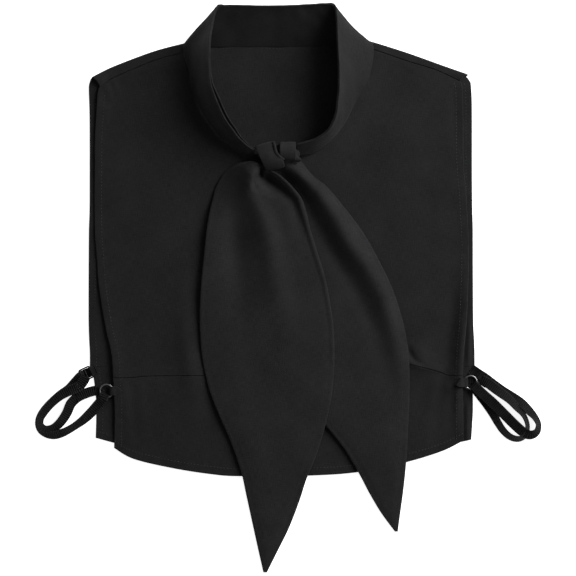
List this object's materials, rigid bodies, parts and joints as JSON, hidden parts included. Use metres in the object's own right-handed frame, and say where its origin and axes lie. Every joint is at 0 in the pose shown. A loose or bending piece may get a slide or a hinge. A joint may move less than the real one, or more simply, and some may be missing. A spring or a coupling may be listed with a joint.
{
  "type": "detachable collar",
  "caption": "Half-shirt false collar lying flat: front and back panels with hem panels, standing neck band tied in front with long tails, elastic side adjusters.",
  "frame": {"origin": "on the floor, at the middle of the flat back panel's underside", "axes": "+X to the right across the garment as seen, +Y up the garment towards the neck band, +Z off the table"},
  "size_m": [0.4479, 0.4978, 0.0384],
  "materials": {
    "crepe": "matt black crepe with a fine weave",
    "elastic": "ribbed black elastic with a slight sheen",
    "ring_metal": "polished wire",
    "slider_metal": "black coated wire with bright glints"
  },
  "bodies": {
    "root": {"back_bodice": "crepe", "back_hem_panel": "crepe", "front_bodice": "crepe", "front_hem_panel": "crepe", "collar_band": "crepe", "tie_tail_left": "crepe", "tie_tail_right": "crepe", "tie_knot": "crepe", "left_strap": "elastic", "left_front_ring": "ring_metal", "left_front_tab": "crepe", "left_back_slider": "slider_metal", "right_strap": "elastic", "right_front_ring": "ring_metal", "right_front_tab": "crepe", "right_back_slider": "slider_metal"}
  },
  "joints": []
}
